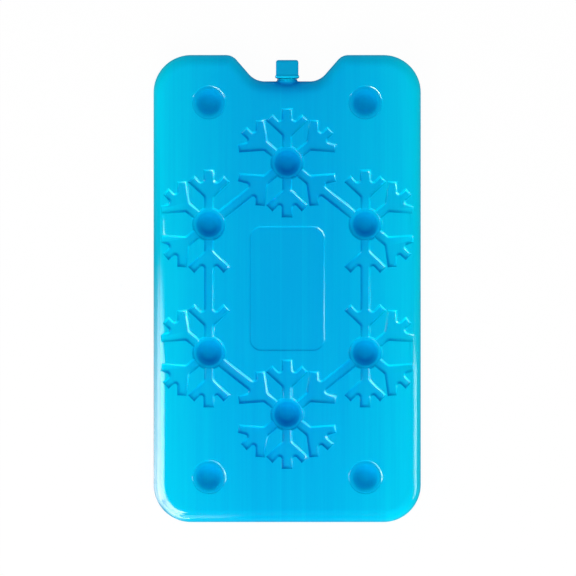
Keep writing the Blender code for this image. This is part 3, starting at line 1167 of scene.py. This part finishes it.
@dataclass
class PackShell:
    """The blow-moulded plate, with its notch, neck and relief."""

    length: float = 250.0 * MM
    width: float = 143.0 * MM
    thickness: float = 15.0 * MM
    corner_radius: float = 20.0 * MM
    edge_radius: float = 6.6 * MM
    edge_draft: float = 0.1 * MM
    edge_steps: int = 14
    step_angle: float = 4.5
    parting_proud: float = 0.25 * MM
    parting_height: float = 0.7 * MM
    crest_inward: float = 0.3
    crest_height: float = 0.35
    notch_depth: float = 14.1 * MM
    notch_mouth_width: float = 58.8 * MM
    notch_floor_width: float = 34.2 * MM
    notch_shoulder_radius: float = 7.5 * MM
    notch_floor_radius: float = 11.1 * MM
    corner_dimple_spacing: float = 83.5 * MM
    corner_dimple_from_neck_end: float = 25.7 * MM
    corner_dimple_from_far_end: float = 24.3 * MM
    ring: SnowflakeRing = field(default_factory=SnowflakeRing)
    panel: Panel = field(default_factory=Panel)
    dimple: KissOffDimple = field(default_factory=KissOffDimple)
    neck: FillerNeck = field(default_factory=FillerNeck)
    bowl_roughness: float = 0.5
    wall_specular: float = 0.11

    @property
    def notch_y(self) -> float:
        """Where the notch's floor is."""
        return self.length / 2 - self.notch_depth

    def outline(self) -> list[Vector]:
        """The plate's outline at its parting line.

        Returns:
            The outline's points.
        """
        x, y = self.width / 2, self.length / 2
        right = [
            (x, -y, self.corner_radius),
            (x, y, self.corner_radius),
            (self.notch_mouth_width / 2, y, self.notch_shoulder_radius),
            (self.notch_floor_width / 2, self.notch_y, self.notch_floor_radius),
        ]
        left = [(-corner[0], *corner[1:]) for corner in reversed(right)]
        return rounded_outline(right + left, self.step_angle)

    def body(self) -> bpy.types.Object:
        """The plate without its relief: half of its edge stepped in from the parting line, and mirrored.

        Returns:
            The plate.
        """
        middle = self.thickness / 2
        bm = bmesh.new()
        face = flat_face(bm, self.outline(), 0.0)
        step_in(bm, [face], self.parting_proud * self.crest_inward, self.parting_height * self.crest_height)
        flank = self.parting_height * (0.5 - self.crest_height)
        step_in(bm, [face], self.parting_proud * (1 - self.crest_inward), flank)
        step_in(bm, [face], self.edge_draft, middle - self.parting_height / 2 - self.edge_radius)
        for inward, rise in fillet_steps(self.edge_radius, 90.0, self.edge_steps, False):
            step_in(bm, [face], inward, rise)
        geometry = bm.verts[:] + bm.edges[:] + bm.faces[:]
        bmesh.ops.mirror(bm, geom=geometry, axis="Z", merge_dist=MERGE_DISTANCE)
        bmesh.ops.translate(bm, verts=bm.verts, vec=(0, 0, middle))
        return mesh_object(bm, "plate")

    def dimples(self) -> list[tuple[Vector, float]]:
        """Where the dimples are: one in each flake and one in each corner.

        Returns:
            The centre of each dimple, and how deep the recess round it is.
        """
        places = [(centre, self.ring.recess.depth) for centre in self.ring.centres()]
        x = self.corner_dimple_spacing / 2
        for y in (
            self.length / 2 - self.corner_dimple_from_neck_end,
            self.corner_dimple_from_far_end - self.length / 2,
        ):
            places += [(Vector((-x, y)), 0.0), (Vector((x, y)), 0.0)]
        return places

    def build(self, finish: BlownPlastic) -> bpy.types.Object:
        """The finished shell.

        Args:
            finish: Its plastic, which is matte inside the dimples and duller on the walls of the recesses.

        Returns:
            The piece.
        """
        body = self.body()
        neck_root = Vector((0.0, self.notch_y, self.thickness / 2))
        combine(body, self.ring.cutter(self.thickness), "DIFFERENCE")
        combine(body, self.panel.cutter(self.thickness), "DIFFERENCE")
        combine(body, self.dimple.cutters(self.dimples(), self.thickness), "DIFFERENCE")
        combine(body, self.neck.form(neck_root), "UNION")
        combine(body, self.neck.bore_cutter(neck_root), "DIFFERENCE")
        shell = bake(body, "shell")
        bowl_finish = replace(finish, name="matte_blue", specular=0.0, roughness=self.bowl_roughness)
        wall_finish = replace(finish, name="wall_blue", specular=self.wall_specular)
        shell.data.materials.clear()
        for surface in (finish, bowl_finish, wall_finish):
            shell.data.materials.append(surface.material())
        WallMarks(self).write(shell)
        soften(shell, SMOOTH_ANGLE)
        return shell


@dataclass(frozen=True)
class WallPoint:
    """A point on the shell's wall, and how it lies to the nearest dimple, the relief and the plate's edge."""

    # Where it is, and which way its wall faces across the plate.
    place: Vector
    level: Vector
    # How far it is from the dimple's centre, in all and to the far end, and to either end as a share from 0 to 1.
    reach: float
    far_reach: float
    to_far: float
    to_neck: float
    # Whether the dimple stands in the ring.
    sunk: bool
    # How far it is under the front face, and how steep the plate's edge is there, from 0 to 1.
    down: float
    lean: float
    in_relief: bool
    in_panel: bool


@dataclass(frozen=True)
class WallMarks:
    """Writes the finish's masks: where the shell's wall is sunk, slopes, or meets the wall behind it, and where light
    and shade are painted on it.
    """

    shell: PackShell
    # Where the dimples' ledges, the matte bowls, the panel and the relief's field end, past their drawn sizes.
    rim_inset: float = 0.3 * MM
    bowl_margin: float = 0.9 * MM
    panel_margin: float = 1.0 * MM
    relief_margin: float = 30.0 * MM
    # A face whose normal rises to this is level.
    level_above: float = 0.995
    # The web of a dimple in the ring, partly painted shade: in its middle, and what its far and neck sides add. It
    # ends before the rim.
    hub_web: Triple = (0.62, 0.38, -0.16)
    hub_inset: float = 0.9 * MM
    hub_fade: float = 1.2 * MM
    # The web of a dimple in a corner, partly painted shade: in its middle, and what its neck side adds.
    corner_web: Pair = (0.48, 0.12)
    corner_fade: float = 0.4 * MM
    # How far from a dimple's centre its far and neck sides are full.
    bowl_turn: float = 6.0 * MM
    # The painted shade where an arm's floor meets the dimple: its value, what the far side adds, and where it starts
    # and ends.
    arm_foot: Pair = (0.25, 0.2)
    arm_foot_from: float = 0.6
    arm_foot_width: float = 1.2 * MM
    # The painted light on the plate's edge: at its ends, and what its long sides add.
    edge_glow: Pair = (0.4, 0.6)
    # The painted light on a ledge in the ring: everywhere, and what its neck side adds.
    ledge_glow: Pair = (0.2, 0.3)
    ledge_inset: float = 0.4 * MM
    # The painted shade on the left edge under the sheen: what it faces, how it grows with the edge's slope, and how it
    # fades toward the neck.
    sheen_shade_light: Vector = field(default_factory=lambda: Vector((-1.0, -0.2)).normalized())
    sheen_shade_start: float = 0.12
    sheen_shade_gain: float = 3.4
    sheen_shade_from: float = 15.0 * MM
    sheen_shade_fade: float = 115.0 * MM
    # The recess walls, for their painted light and shade: how soon a wall counts in full, what its foot reaches, and
    # where it starts round a dimple.
    wall_fade: float = 0.08 * MM
    foot_share: float = 0.8
    wall_inset: float = 1.6 * MM
    shade_outset: float = 0.2 * MM
    # The main light's heading, for the painted light and shade on the walls, and how far a wall turns to it and from
    # it before it is painted lit and painted shaded.
    light: Vector = field(default_factory=lambda: Vector((-0.55, -0.83)))
    lit_from: float = -0.3
    shaded_from: float = -0.1
    shaded_range: float = 0.9
    # The painted dark crescent at the far side of a bowl: where it is, its width, and its depth in a corner and in the
    # ring.
    crescent_at: float = 4.4 * MM
    crescent_width: float = 1.9 * MM
    crescent_depth: Pair = (0.15, 0.8)

    @property
    def outer(self) -> float:
        """How far from its centre a dimple's ledge ends."""
        return self.shell.dimple.rim_diameter / 2 - self.rim_inset

    def near_middle(self, place: Vector) -> bool:
        """Whether a place is on the flat of the plate, between its ends."""
        flat_x = self.shell.width / 2 - self.shell.edge_radius
        return abs(place.x) < flat_x and abs(place.y) < self.shell.ring.end_offset + self.relief_margin

    def point(self, vert: bmesh.types.BMVert, dimples: list[tuple[Vector, float]]) -> WallPoint:
        """How one point of the wall lies.

        Args:
            vert: The point.
            dimples: The centre of each dimple, and how deep it is sunk.

        Returns:
            The point's place and what the masks need of it.
        """
        shell, place = self.shell, vert.co.copy()
        centre, sunk = min(dimples, key=lambda dimple: (place.xy - dimple[0]).length_squared)
        reach = (place.xy - centre).length
        turn = (centre.y - place.y) / self.bowl_turn
        clear = sunk > 0.0 or reach > shell.dimple.rim_diameter / 2 + shell.dimple.rim_radius
        low = (shell.thickness / 2 - abs(place.z - shell.thickness / 2)) / shell.edge_radius
        return WallPoint(
            place=place,
            level=vert.normal.xy.normalized(),
            reach=reach,
            far_reach=centre.y - place.y,
            to_far=clamped(turn),
            to_neck=clamped(-turn),
            sunk=sunk > 0.0,
            down=shell.thickness - place.z,
            lean=math.sqrt(1.0 - (1.0 - clamped(low)) ** 2),
            in_relief=self.near_middle(place) and clear,
            in_panel=abs(place.x) < shell.panel.width / 2 + self.panel_margin
            and abs(place.y) < shell.panel.length / 2 + self.panel_margin,
        )

    def relief(self, point: WallPoint) -> float:
        """How far down in a recess the wall is, for the painted shade that darkens the recesses."""
        shown = point.in_relief and point.place.z > self.shell.thickness / 2
        return clamped(point.down / self.shell.ring.recess.depth) if shown else 0.0

    def web(self, point: WallPoint) -> float:
        """How near the wall is to the wall behind it, which darkens it, with painted shade added: deeper at the far
        side of each dimple in the ring and where an arm's floor meets it.

        Args:
            point: The point.

        Returns:
            The mask's value.
        """
        if not point.sunk:
            middle, neck = self.corner_web
            return (middle + neck * point.to_neck) * clamped((self.outer - point.reach) / self.corner_fade)
        middle, far, neck = self.hub_web
        bowl = middle + far * point.to_far + neck * point.to_neck
        bowl *= clamped((self.outer - self.hub_inset - point.reach) / self.hub_fade)
        if point.down <= self.arm_foot_from * self.shell.ring.recess.depth:
            return bowl
        least, turn = self.arm_foot
        foot = least + turn * (point.to_far - point.to_neck)
        return max(bowl, foot) if point.reach < self.outer + self.arm_foot_width else bowl

    def rim(self, point: WallPoint) -> float:
        """How much painted light the wall gets, on the plate's edge and on the ledges in the ring's dimples.

        Args:
            point: The point.

        Returns:
            The mask's value.
        """
        if not point.in_relief and point.reach >= self.outer:
            least, aside = self.edge_glow
            return point.lean * (least + aside * abs(point.level.x))
        least, neck = self.ledge_glow
        on_ledge = self.shell.dimple.shoulder_diameter / 2 < point.reach < self.outer - self.ledge_inset
        return least + neck * point.to_neck if point.sunk and on_ledge else 0.0

    def sheen_shade(self, point: WallPoint) -> float:
        """How much painted shade the plate's left edge gets, where the sheen is on it.

        Args:
            point: The point.

        Returns:
            The mask's value.
        """
        if point.in_relief or point.reach < self.outer:
            return 0.0
        along = clamped((self.sheen_shade_from - point.place.y) / self.sheen_shade_fade)
        facing = max(point.level.dot(self.sheen_shade_light), 0.0)
        return clamped((point.lean - self.sheen_shade_start) * self.sheen_shade_gain) * facing * along

    def slope(self, point: WallPoint) -> Pair:
        """How much the wall slopes, as the masks for its painted light and its painted shade see it.

        Args:
            point: The point.

        Returns:
            The painted lit side's slope, and the painted shaded side's, which takes in the margin of the floor.
        """
        rim = self.shell.dimple.rim_diameter / 2
        if not point.in_relief or point.reach <= rim - self.wall_inset:
            return 0.0, 0.0
        recess = self.shell.panel.recess if point.in_panel else self.shell.ring.recess
        margin_drop = self.shell.ring.recess.margin_drop
        wall = min(point.down, recess.depth - point.down) / self.wall_fade
        above_floor = self.foot_share * (recess.depth + margin_drop - point.down) / margin_drop
        foot = min(point.down / self.wall_fade, above_floor)
        dark = clamped(wall) if point.in_panel else clamped(max(wall, foot))
        return clamped(wall), 0.0 if point.reach < rim + self.shade_outset else dark

    def write(self, piece: bpy.types.Object) -> None:
        """Writes the masks, which hold painted light and painted shade, and picks each face's material.

        Args:
            piece: The shell.
        """
        bm = bmesh.new()
        bm.from_mesh(piece.data)
        masks = {name: bm.verts.layers.float.new(name) for name in ("relief", "web", "rim", "sheen_shade", "edge", "shade")}
        dimples = self.shell.dimples()
        for vert in bm.verts:
            point = self.point(vert, dimples)
            lit = point.level.dot(self.light)
            steep, dark = self.slope(point)
            # Painted shade: a dark crescent at the far side of each dimple's bowl.
            crescent = max(1.0 - abs(point.reach - self.crescent_at) / self.crescent_width, 0.0)
            crescent *= max(point.far_reach / max(point.reach, MM), 0.0) * self.crescent_depth[point.sunk]
            values = {
                "relief": self.relief(point),
                "web": self.web(point),
                "rim": self.rim(point),
                "sheen_shade": self.sheen_shade(point),
                # Painted light on walls facing the fixed heading, and painted shade on walls facing away from it.
                "edge": steep * clamped((lit - self.lit_from) / (1.0 - self.lit_from)),
                "shade": max(dark * clamped((self.shaded_from - lit) / self.shaded_range), crescent),
            }
            for name, value in values.items():
                vert[masks[name]] = value
        bowl = self.shell.dimple.shoulder_diameter / 2 + self.bowl_margin
        for face in bm.faces:
            middle = face.calc_center_median()
            in_bowl = min((middle.xy - centre).length for centre, _ in dimples) < bowl
            on_wall = self.near_middle(middle) and 0.0 < face.normal.z < self.level_above
            plastic = ShellPlastic.BOWL if in_bowl else ShellPlastic.WALL if on_wall else ShellPlastic.SKIN
            face.material_index = plastic.value
        bm.to_mesh(piece.data)
        bm.free()


@dataclass
class FillerPlug:
    """The square-headed plug on its round stem, pressed into the neck.

    The lip's foot, profile and shoulder, and where the plain head starts, are given as shares of the lip's height over
    its underside, with how far they stand in or out.
    """

    seat_y: float
    mid_height: float
    seat_width: float
    stem_diameter: float
    head_width: float = 12.0 * MM
    head_height: float = 9.8 * MM
    lip_proud: float = 0.45 * MM
    lip_height: float = 0.5 * MM
    glow_reach: float = 1.4
    lip_foot: Triple = (-0.3, 0.35, 1.3)
    lip_profile: tuple[Pair, ...] = ((0.0, -0.05 * MM), (0.5, 0.0), (1.0, -0.08 * MM))
    lip_shoulder: Pair = (1.5, 0.35)
    head_from: float = 2.2
    undercut: float = 0.8 * MM
    top_radius: float = 1.3 * MM
    corner_radius: float = 1.2 * MM
    stem_length: float = 7.5 * MM
    stem_chamfer: float = 0.8 * MM
    round_steps: int = 6
    stem_steps: int = 48

    def sections(self) -> list[tuple[float, float, float]]:
        """The sections of the head, from its underside to its top.

        Returns:
            The y, half width and corner radius of each section.
        """
        half = self.head_width / 2
        seat, lip = self.seat_width / 2, half + self.lip_proud
        under = self.seat_y + self.undercut
        share, inward, growth = self.lip_foot
        sections = [
            (self.seat_y, seat, seat - self.corner_radius),
            (under + self.lip_height * share, lip - self.lip_height * inward, self.corner_radius * growth),
        ]
        for share, outward in self.lip_profile:
            sections.append((under + self.lip_height * share, lip + outward, self.corner_radius + self.lip_proud))
        share, outward = self.lip_shoulder
        shoulder = under + self.lip_height * share
        sections += [
            (shoulder, half + self.lip_proud * outward, self.corner_radius + self.lip_proud / 2),
            (under + self.lip_height * self.head_from, half, self.corner_radius),
        ]
        top = self.seat_y + self.head_height
        for step in range(self.round_steps + 1):
            turn = math.radians(90 * step / self.round_steps)
            inward = self.top_radius * (1 - math.cos(turn))
            radius = max(self.corner_radius - inward, self.corner_radius / 4)
            sections.append((top - self.top_radius * (1 - math.sin(turn)), half - inward, radius))
        return sections

    def head(self) -> bpy.types.Object:
        """The head, lofted through its sections.

        Returns:
            The head.
        """
        bm = bmesh.new()
        loops = []
        for y, half, radius in self.sections():
            outline = rounded_rectangle(half, half, radius, 90.0 / self.round_steps)
            verts = [bm.verts.new((point.x, y, self.mid_height + point.y)) for point in outline]
            loops.append([bm.edges.new(pair) for pair in zip(verts, verts[1:] + verts[:1])])
        for lower, upper in zip(loops, loops[1:]):
            bmesh.ops.bridge_loops(bm, edges=lower + upper)
        for end in (loops[0], loops[-1]):
            bmesh.ops.contextual_create(bm, geom=end)
        return mesh_object(bm, "plug_head")

    def stem(self) -> bpy.types.Object:
        """The round stem under the head.

        Returns:
            The stem.
        """
        radius, top, foot = self.stem_diameter / 2, self.undercut, -self.stem_length
        chamfer = self.stem_chamfer
        points = [(0.0, top), (radius, top), (radius, foot + chamfer), (radius - chamfer, foot), (0.0, foot)]
        return turned("plug_stem", points, Vector((0.0, self.seat_y, self.mid_height)), self.stem_steps)

    def build(self, finish: BlownPlastic) -> bpy.types.Object:
        """The finished plug.

        Args:
            finish: Its plastic.

        Returns:
            The piece.
        """
        head = self.head()
        combine(head, self.stem(), "UNION")
        plug = bake(head, "plug")
        plug.data.materials.clear()
        plug.data.materials.append(finish.material())
        self.mark_lip(plug)
        soften(plug, SMOOTH_ANGLE)
        return plug

    def mark_lip(self, piece: bpy.types.Object) -> None:
        """Writes where the head's lip and underside are, which get painted light.

        Args:
            piece: The plug.
        """
        bm = bmesh.new()
        bm.from_mesh(piece.data)
        rim = bm.verts.layers.float.new("rim")
        lip_top = self.seat_y + self.undercut + self.lip_height
        for vert in bm.verts:
            vert[rim] = clamped((lip_top - vert.co.y) / (self.glow_reach * self.lip_height))
        bm.to_mesh(piece.data)
        bm.free()


@dataclass(frozen=True)
class SoftBox:
    """A soft lamp: where its middle is, what it faces, its width and height, how bright it is and what it is for."""

    name: str
    place: Triple
    aim: Triple
    size: Pair
    radiance: float
    use: LampUse

    def build(self) -> None:
        """The lamp, seen only in the light that it gives."""
        lamp = bpy.data.lights.new(self.name, "AREA")
        lamp.shape = "RECTANGLE"
        lamp.size, lamp.size_y = self.size
        lamp.energy = self.radiance * self.size[0] * self.size[1] * math.pi
        made = new_object(self.name, lamp)
        made.location = self.place
        facing = Vector(self.aim) - Vector(self.place)
        made.rotation_euler = facing.to_track_quat("-Z", "Y").to_euler()
        made.visible_camera = False
        made.visible_glossy = self.use is LampUse.SHEEN
        made.visible_diffuse = self.use is LampUse.FILL


def glowing_material(name: str) -> tuple[bpy.types.Material, Board, bpy.types.Node]:
    """A new material without gloss, for a thing that glows white.

    Args:
        name: The material's name.

    Returns:
        The material, its nodes and its shader.
    """
    material, board, shader = new_material(name)
    shader.inputs["Specular IOR Level"].default_value = 0.0
    shader.inputs["Emission Color"].default_value = WHITE
    return material, board, shader


@dataclass(frozen=True)
class FloorGlow:
    """How bright the floor at the lower left is in the plastic's gloss.

    It grows toward the far end and to the left, and is dark close to the plate.
    """

    radiance: float = 21.0
    from_y: float = 15.0 * MM
    full_y: float = -100.0 * MM
    power: float = 1.2
    from_x: float = -54.0 * MM
    full_x: float = -82.0 * MM
    plate_edge: Pair = (-71.5 * MM, -125.0 * MM)
    near_fade: float = 30.0 * MM

    def strength(self, board: Board) -> Socket:
        """The glow over the floor, from the floor's own coordinates.

        Args:
            board: The floor's nodes.

        Returns:
            The socket with the strength.
        """
        axes = board.object_axes()
        along = board.ramp(axes.outputs["Y"], self.from_y, self.full_y, self.power)
        across = board.remap(axes.outputs["X"], (self.from_x, self.full_x), (0.0, 1.0), "SMOOTHSTEP")
        away = [board.math("SUBTRACT", edge, axes.outputs[axis]) for axis, edge in zip("XY", self.plate_edge)]
        distance = board.math("MAXIMUM", board.math("MAXIMUM", *away), 0.0)
        near = board.math("DIVIDE", distance, board.math("ADD", distance, self.near_fade))
        shape = board.math("MULTIPLY", board.math("MULTIPLY", along, across), near)
        return board.math("MULTIPLY", shape, self.radiance)


@dataclass(frozen=True)
class SideWall:
    """The bright wall at the left, which only the plastic's gloss shows: it fades toward the neck end and upward."""

    x: float = -400.0 * MM
    y_range: Pair = (-300.0 * MM, 30.0 * MM)
    height: float = 1700.0 * MM
    radiance: float = 32.0
    from_y: float = 15.0 * MM
    full_y: float = -100.0 * MM
    power: float = 0.65
    lean: float = 0.05
    dim_from: float = 250.0 * MM
    dark_at: float = 1500.0 * MM

    def glow(self) -> bpy.types.Material:
        """The wall's material, which glows and isn't lit.

        Returns:
            The material.
        """
        material, board, shader = glowing_material("wall_of_light")
        material.cycles.emission_sampling = "NONE"
        shader.inputs["Base Color"].default_value = (0.0, 0.0, 0.0, 1.0)
        axes = board.object_axes()
        raised = board.math("MAXIMUM", board.math("SUBTRACT", axes.outputs["Z"], self.dim_from), 0.0)
        level = board.math("MULTIPLY_ADD", raised, self.lean, axes.outputs["Y"])
        along = board.ramp(level, self.from_y, self.full_y, self.power)
        upward = board.remap(axes.outputs["Z"], (self.dim_from, self.dark_at), (self.radiance, 0.0), "SMOOTHSTEP")
        board.link(board.math("MULTIPLY", along, upward), shader.inputs["Emission Strength"])
        return material

    def build(self) -> None:
        """The wall, one upright face."""
        bm = bmesh.new()
        low, high = self.y_range
        corners = ((low, 0.0), (high, 0.0), (high, self.height), (low, self.height))
        bm.faces.new([bm.verts.new((self.x, y, z)) for y, z in corners])
        wall = mesh_object(bm, "side_wall")
        wall.data.materials.append(self.glow())
        wall.visible_camera = False
        wall.visible_diffuse = False
        wall.visible_shadow = False


@dataclass
class Studio:
    """The pale floor, the lamps, the surroundings and the camera."""

    frame_width: float = 308.3 * MM
    image_centre: Pair = (0.43 * MM, 0.29 * MM)
    focal_length: float = 300.0
    sensor_width: float = 36.0
    floor_size: float = 4.0
    floor_drop: float = 0.05 * MM
    floor_roughness: float = 0.9
    floor_colour: Colour = (0.6, 0.6, 0.6)
    floor_gloss: Colour = (0.1, 0.1, 0.1)
    floor_fill: float = 0.965
    surroundings: float = 0.7
    floor_glow: FloorGlow = field(default_factory=FloorGlow)
    side_wall: SideWall = field(default_factory=SideWall)

    def camera(self, height: float) -> None:
        """The camera, straight above the plate.

        Args:
            height: The level at which the frame has its width.
        """
        lens = bpy.data.cameras.new("camera")
        lens.lens = self.focal_length
        lens.sensor_width = self.sensor_width
        made = new_object("camera", lens)
        distance = self.frame_width * self.focal_length / self.sensor_width
        made.location = (*self.image_centre, height + distance)
        bpy.context.scene.camera = made

    def floor(self) -> None:
        """The floor, which the camera sees nearly white, with the object's shadow kept."""
        bm = bmesh.new()
        bmesh.ops.create_grid(bm, x_segments=1, y_segments=1, size=self.floor_size / 2)
        bmesh.ops.translate(bm, verts=bm.verts, vec=(0, 0, -self.floor_drop))
        floor = mesh_object(bm, "floor")
        material, board, shader = glowing_material("pale_floor")
        shader.inputs["Roughness"].default_value = self.floor_roughness
        rays = board.add("ShaderNodeLightPath")
        shown = rays.outputs["Is Camera Ray"]
        unseen = board.blend(rays.outputs["Is Glossy Ray"], self.floor_colour, self.floor_gloss)
        pale = (1.0 - self.floor_fill,) * 3
        board.link(board.blend(shown, unseen, pale), shader.inputs["Base Color"])
        mirrored = board.math("MULTIPLY", rays.outputs["Is Glossy Ray"], self.floor_glow.strength(board))
        lit = board.math("MULTIPLY_ADD", shown, self.floor_fill, mirrored)
        board.link(lit, shader.inputs["Emission Strength"])
        floor.data.materials.append(material)

    def world(self) -> None:
        """The surroundings: white behind the floor, and dim to every other ray."""
        world = bpy.data.worlds.new("surroundings")
        world.use_nodes = True
        board = Board(world.node_tree)
        background = world.node_tree.nodes["Background"]
        path = board.add("ShaderNodeLightPath")
        shown = path.outputs["Is Camera Ray"]
        strength = board.math("MULTIPLY_ADD", shown, 1.0 - self.surroundings, self.surroundings)
        board.link(strength, background.inputs["Strength"])
        background.inputs["Color"].default_value = WHITE
        world.cycles_visibility.glossy = False
        world.cycles.sampling_method = "NONE"
        bpy.context.scene.world = world

    def lamps(self) -> list[SoftBox]:
        """The soft lamps: a fill, and those mirrored in the gloss, three at the lower left and two at the right.

        Returns:
            The lamps.
        """
        middle = (0.0, 0.0, 0.02)
        return [
            SoftBox("main_light", (-0.20, -0.80, 0.58), middle, (0.9, 0.6), 3.5, LampUse.FILL),
            SoftBox("main_panel", (-0.45, -0.60, 0.41), middle, (0.50, 0.90), 21.0, LampUse.SHEEN),
            SoftBox("main_panel_heart", (-0.42, -0.60, 0.48), middle, (0.40, 0.46), 12.0, LampUse.SHEEN),
            SoftBox("near_end", (-0.094, -0.40, 0.10), (-0.055, -0.12, 0.0), (0.12, 0.18), 3.5, LampUse.SHEEN),
            SoftBox("side_light", (0.40, -0.155, 0.048), (0.0, -0.115, 0.0), (0.22, 0.15), 10.0, LampUse.SHEEN),
            SoftBox("side_light_top", (0.39, -0.085, 0.155), (0.0, -0.085, 0.0), (0.10, 0.10), 8.5, LampUse.SHEEN),
        ]

    def build(self, height: float) -> None:
        """Builds all of it round the plate.

        Args:
            height: The height of the plate's parting line.
        """
        self.camera(height)
        self.floor()
        self.world()
        self.side_wall.build()
        for lamp in self.lamps():
            lamp.build()
        bpy.context.scene.view_settings.view_transform = "Standard"


def settle(piece: bpy.types.Object, node: str) -> None:
    """Puts a finished piece in a CAD node's place.

    Args:
        piece: The finished piece.
        node: The node that it stands for.
    """
    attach(piece, "root")
    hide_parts(node)
    log.info("%s: %d faces, stands for %s", piece.name, len(piece.data.polygons), node)


def main() -> None:
    """Builds the pack and its studio."""
    logging.basicConfig(level=logging.INFO, format="%(message)s", stream=sys.stdout)
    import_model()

    shell_plastic = BlownPlastic(
        name="translucent_blue",
        core=(0.0, 0.42, 0.80),
        flank=(0.0, 0.60, 0.88),
        # Painted shade: the recesses are tinted darker.
        recess=(1.0, 0.92, 0.96),
        # Darker where the two walls meet, with painted shade toward one side of each dimple.
        web=(1.0, 0.60, 0.80),
        die_lines=(-3.4 * MM, 8.4 * MM),
        # Painted shade round the notch and under the neck, and painted light on the neck.
        spots=(
            Spot((0.0, 110.9 * MM), (30.0 * MM, 14.0 * MM), (1.0, 0.68, 0.86)),
            Spot((0.0, 109.9 * MM), (12.0 * MM, 4.0 * MM), (1.0, 0.50, 0.78)),
            Spot((0.0, 112.1 * MM), (6.4 * MM, 4.2 * MM), (1.0, 3.3, 1.6)),
        ),
    )
    plug_plastic = BlownPlastic(
        name="plug_blue",
        core=(0.0, 0.375, 0.68),
        flank=(0.0, 0.375, 0.68),
        recess=(1.0, 1.0, 1.0),
        web=(1.0, 1.0, 1.0),
        # Painted light on the lip and underside of the head.
        glow=(1.0, 1.55, 1.25),
        specular=0.06,
        roughness=0.24,
        streak_strength=0.0,
        streak_height=0.0,
        wave_height=0.02 * MM,
    )
    shell = PackShell()
    settle(shell.build(shell_plastic), "pack_shell")
    fit_gap = 0.3 * MM
    plug = FillerPlug(
        seat_y=shell.notch_y + shell.neck.rise + fit_gap,
        mid_height=shell.thickness / 2,
        seat_width=shell.neck.diameter,
        stem_diameter=shell.neck.bore - 2 * fit_gap,
    )
    settle(plug.build(plug_plastic), "filler_plug")
    Studio().build(shell.thickness / 2)


if __name__ == "__main__":
    main()
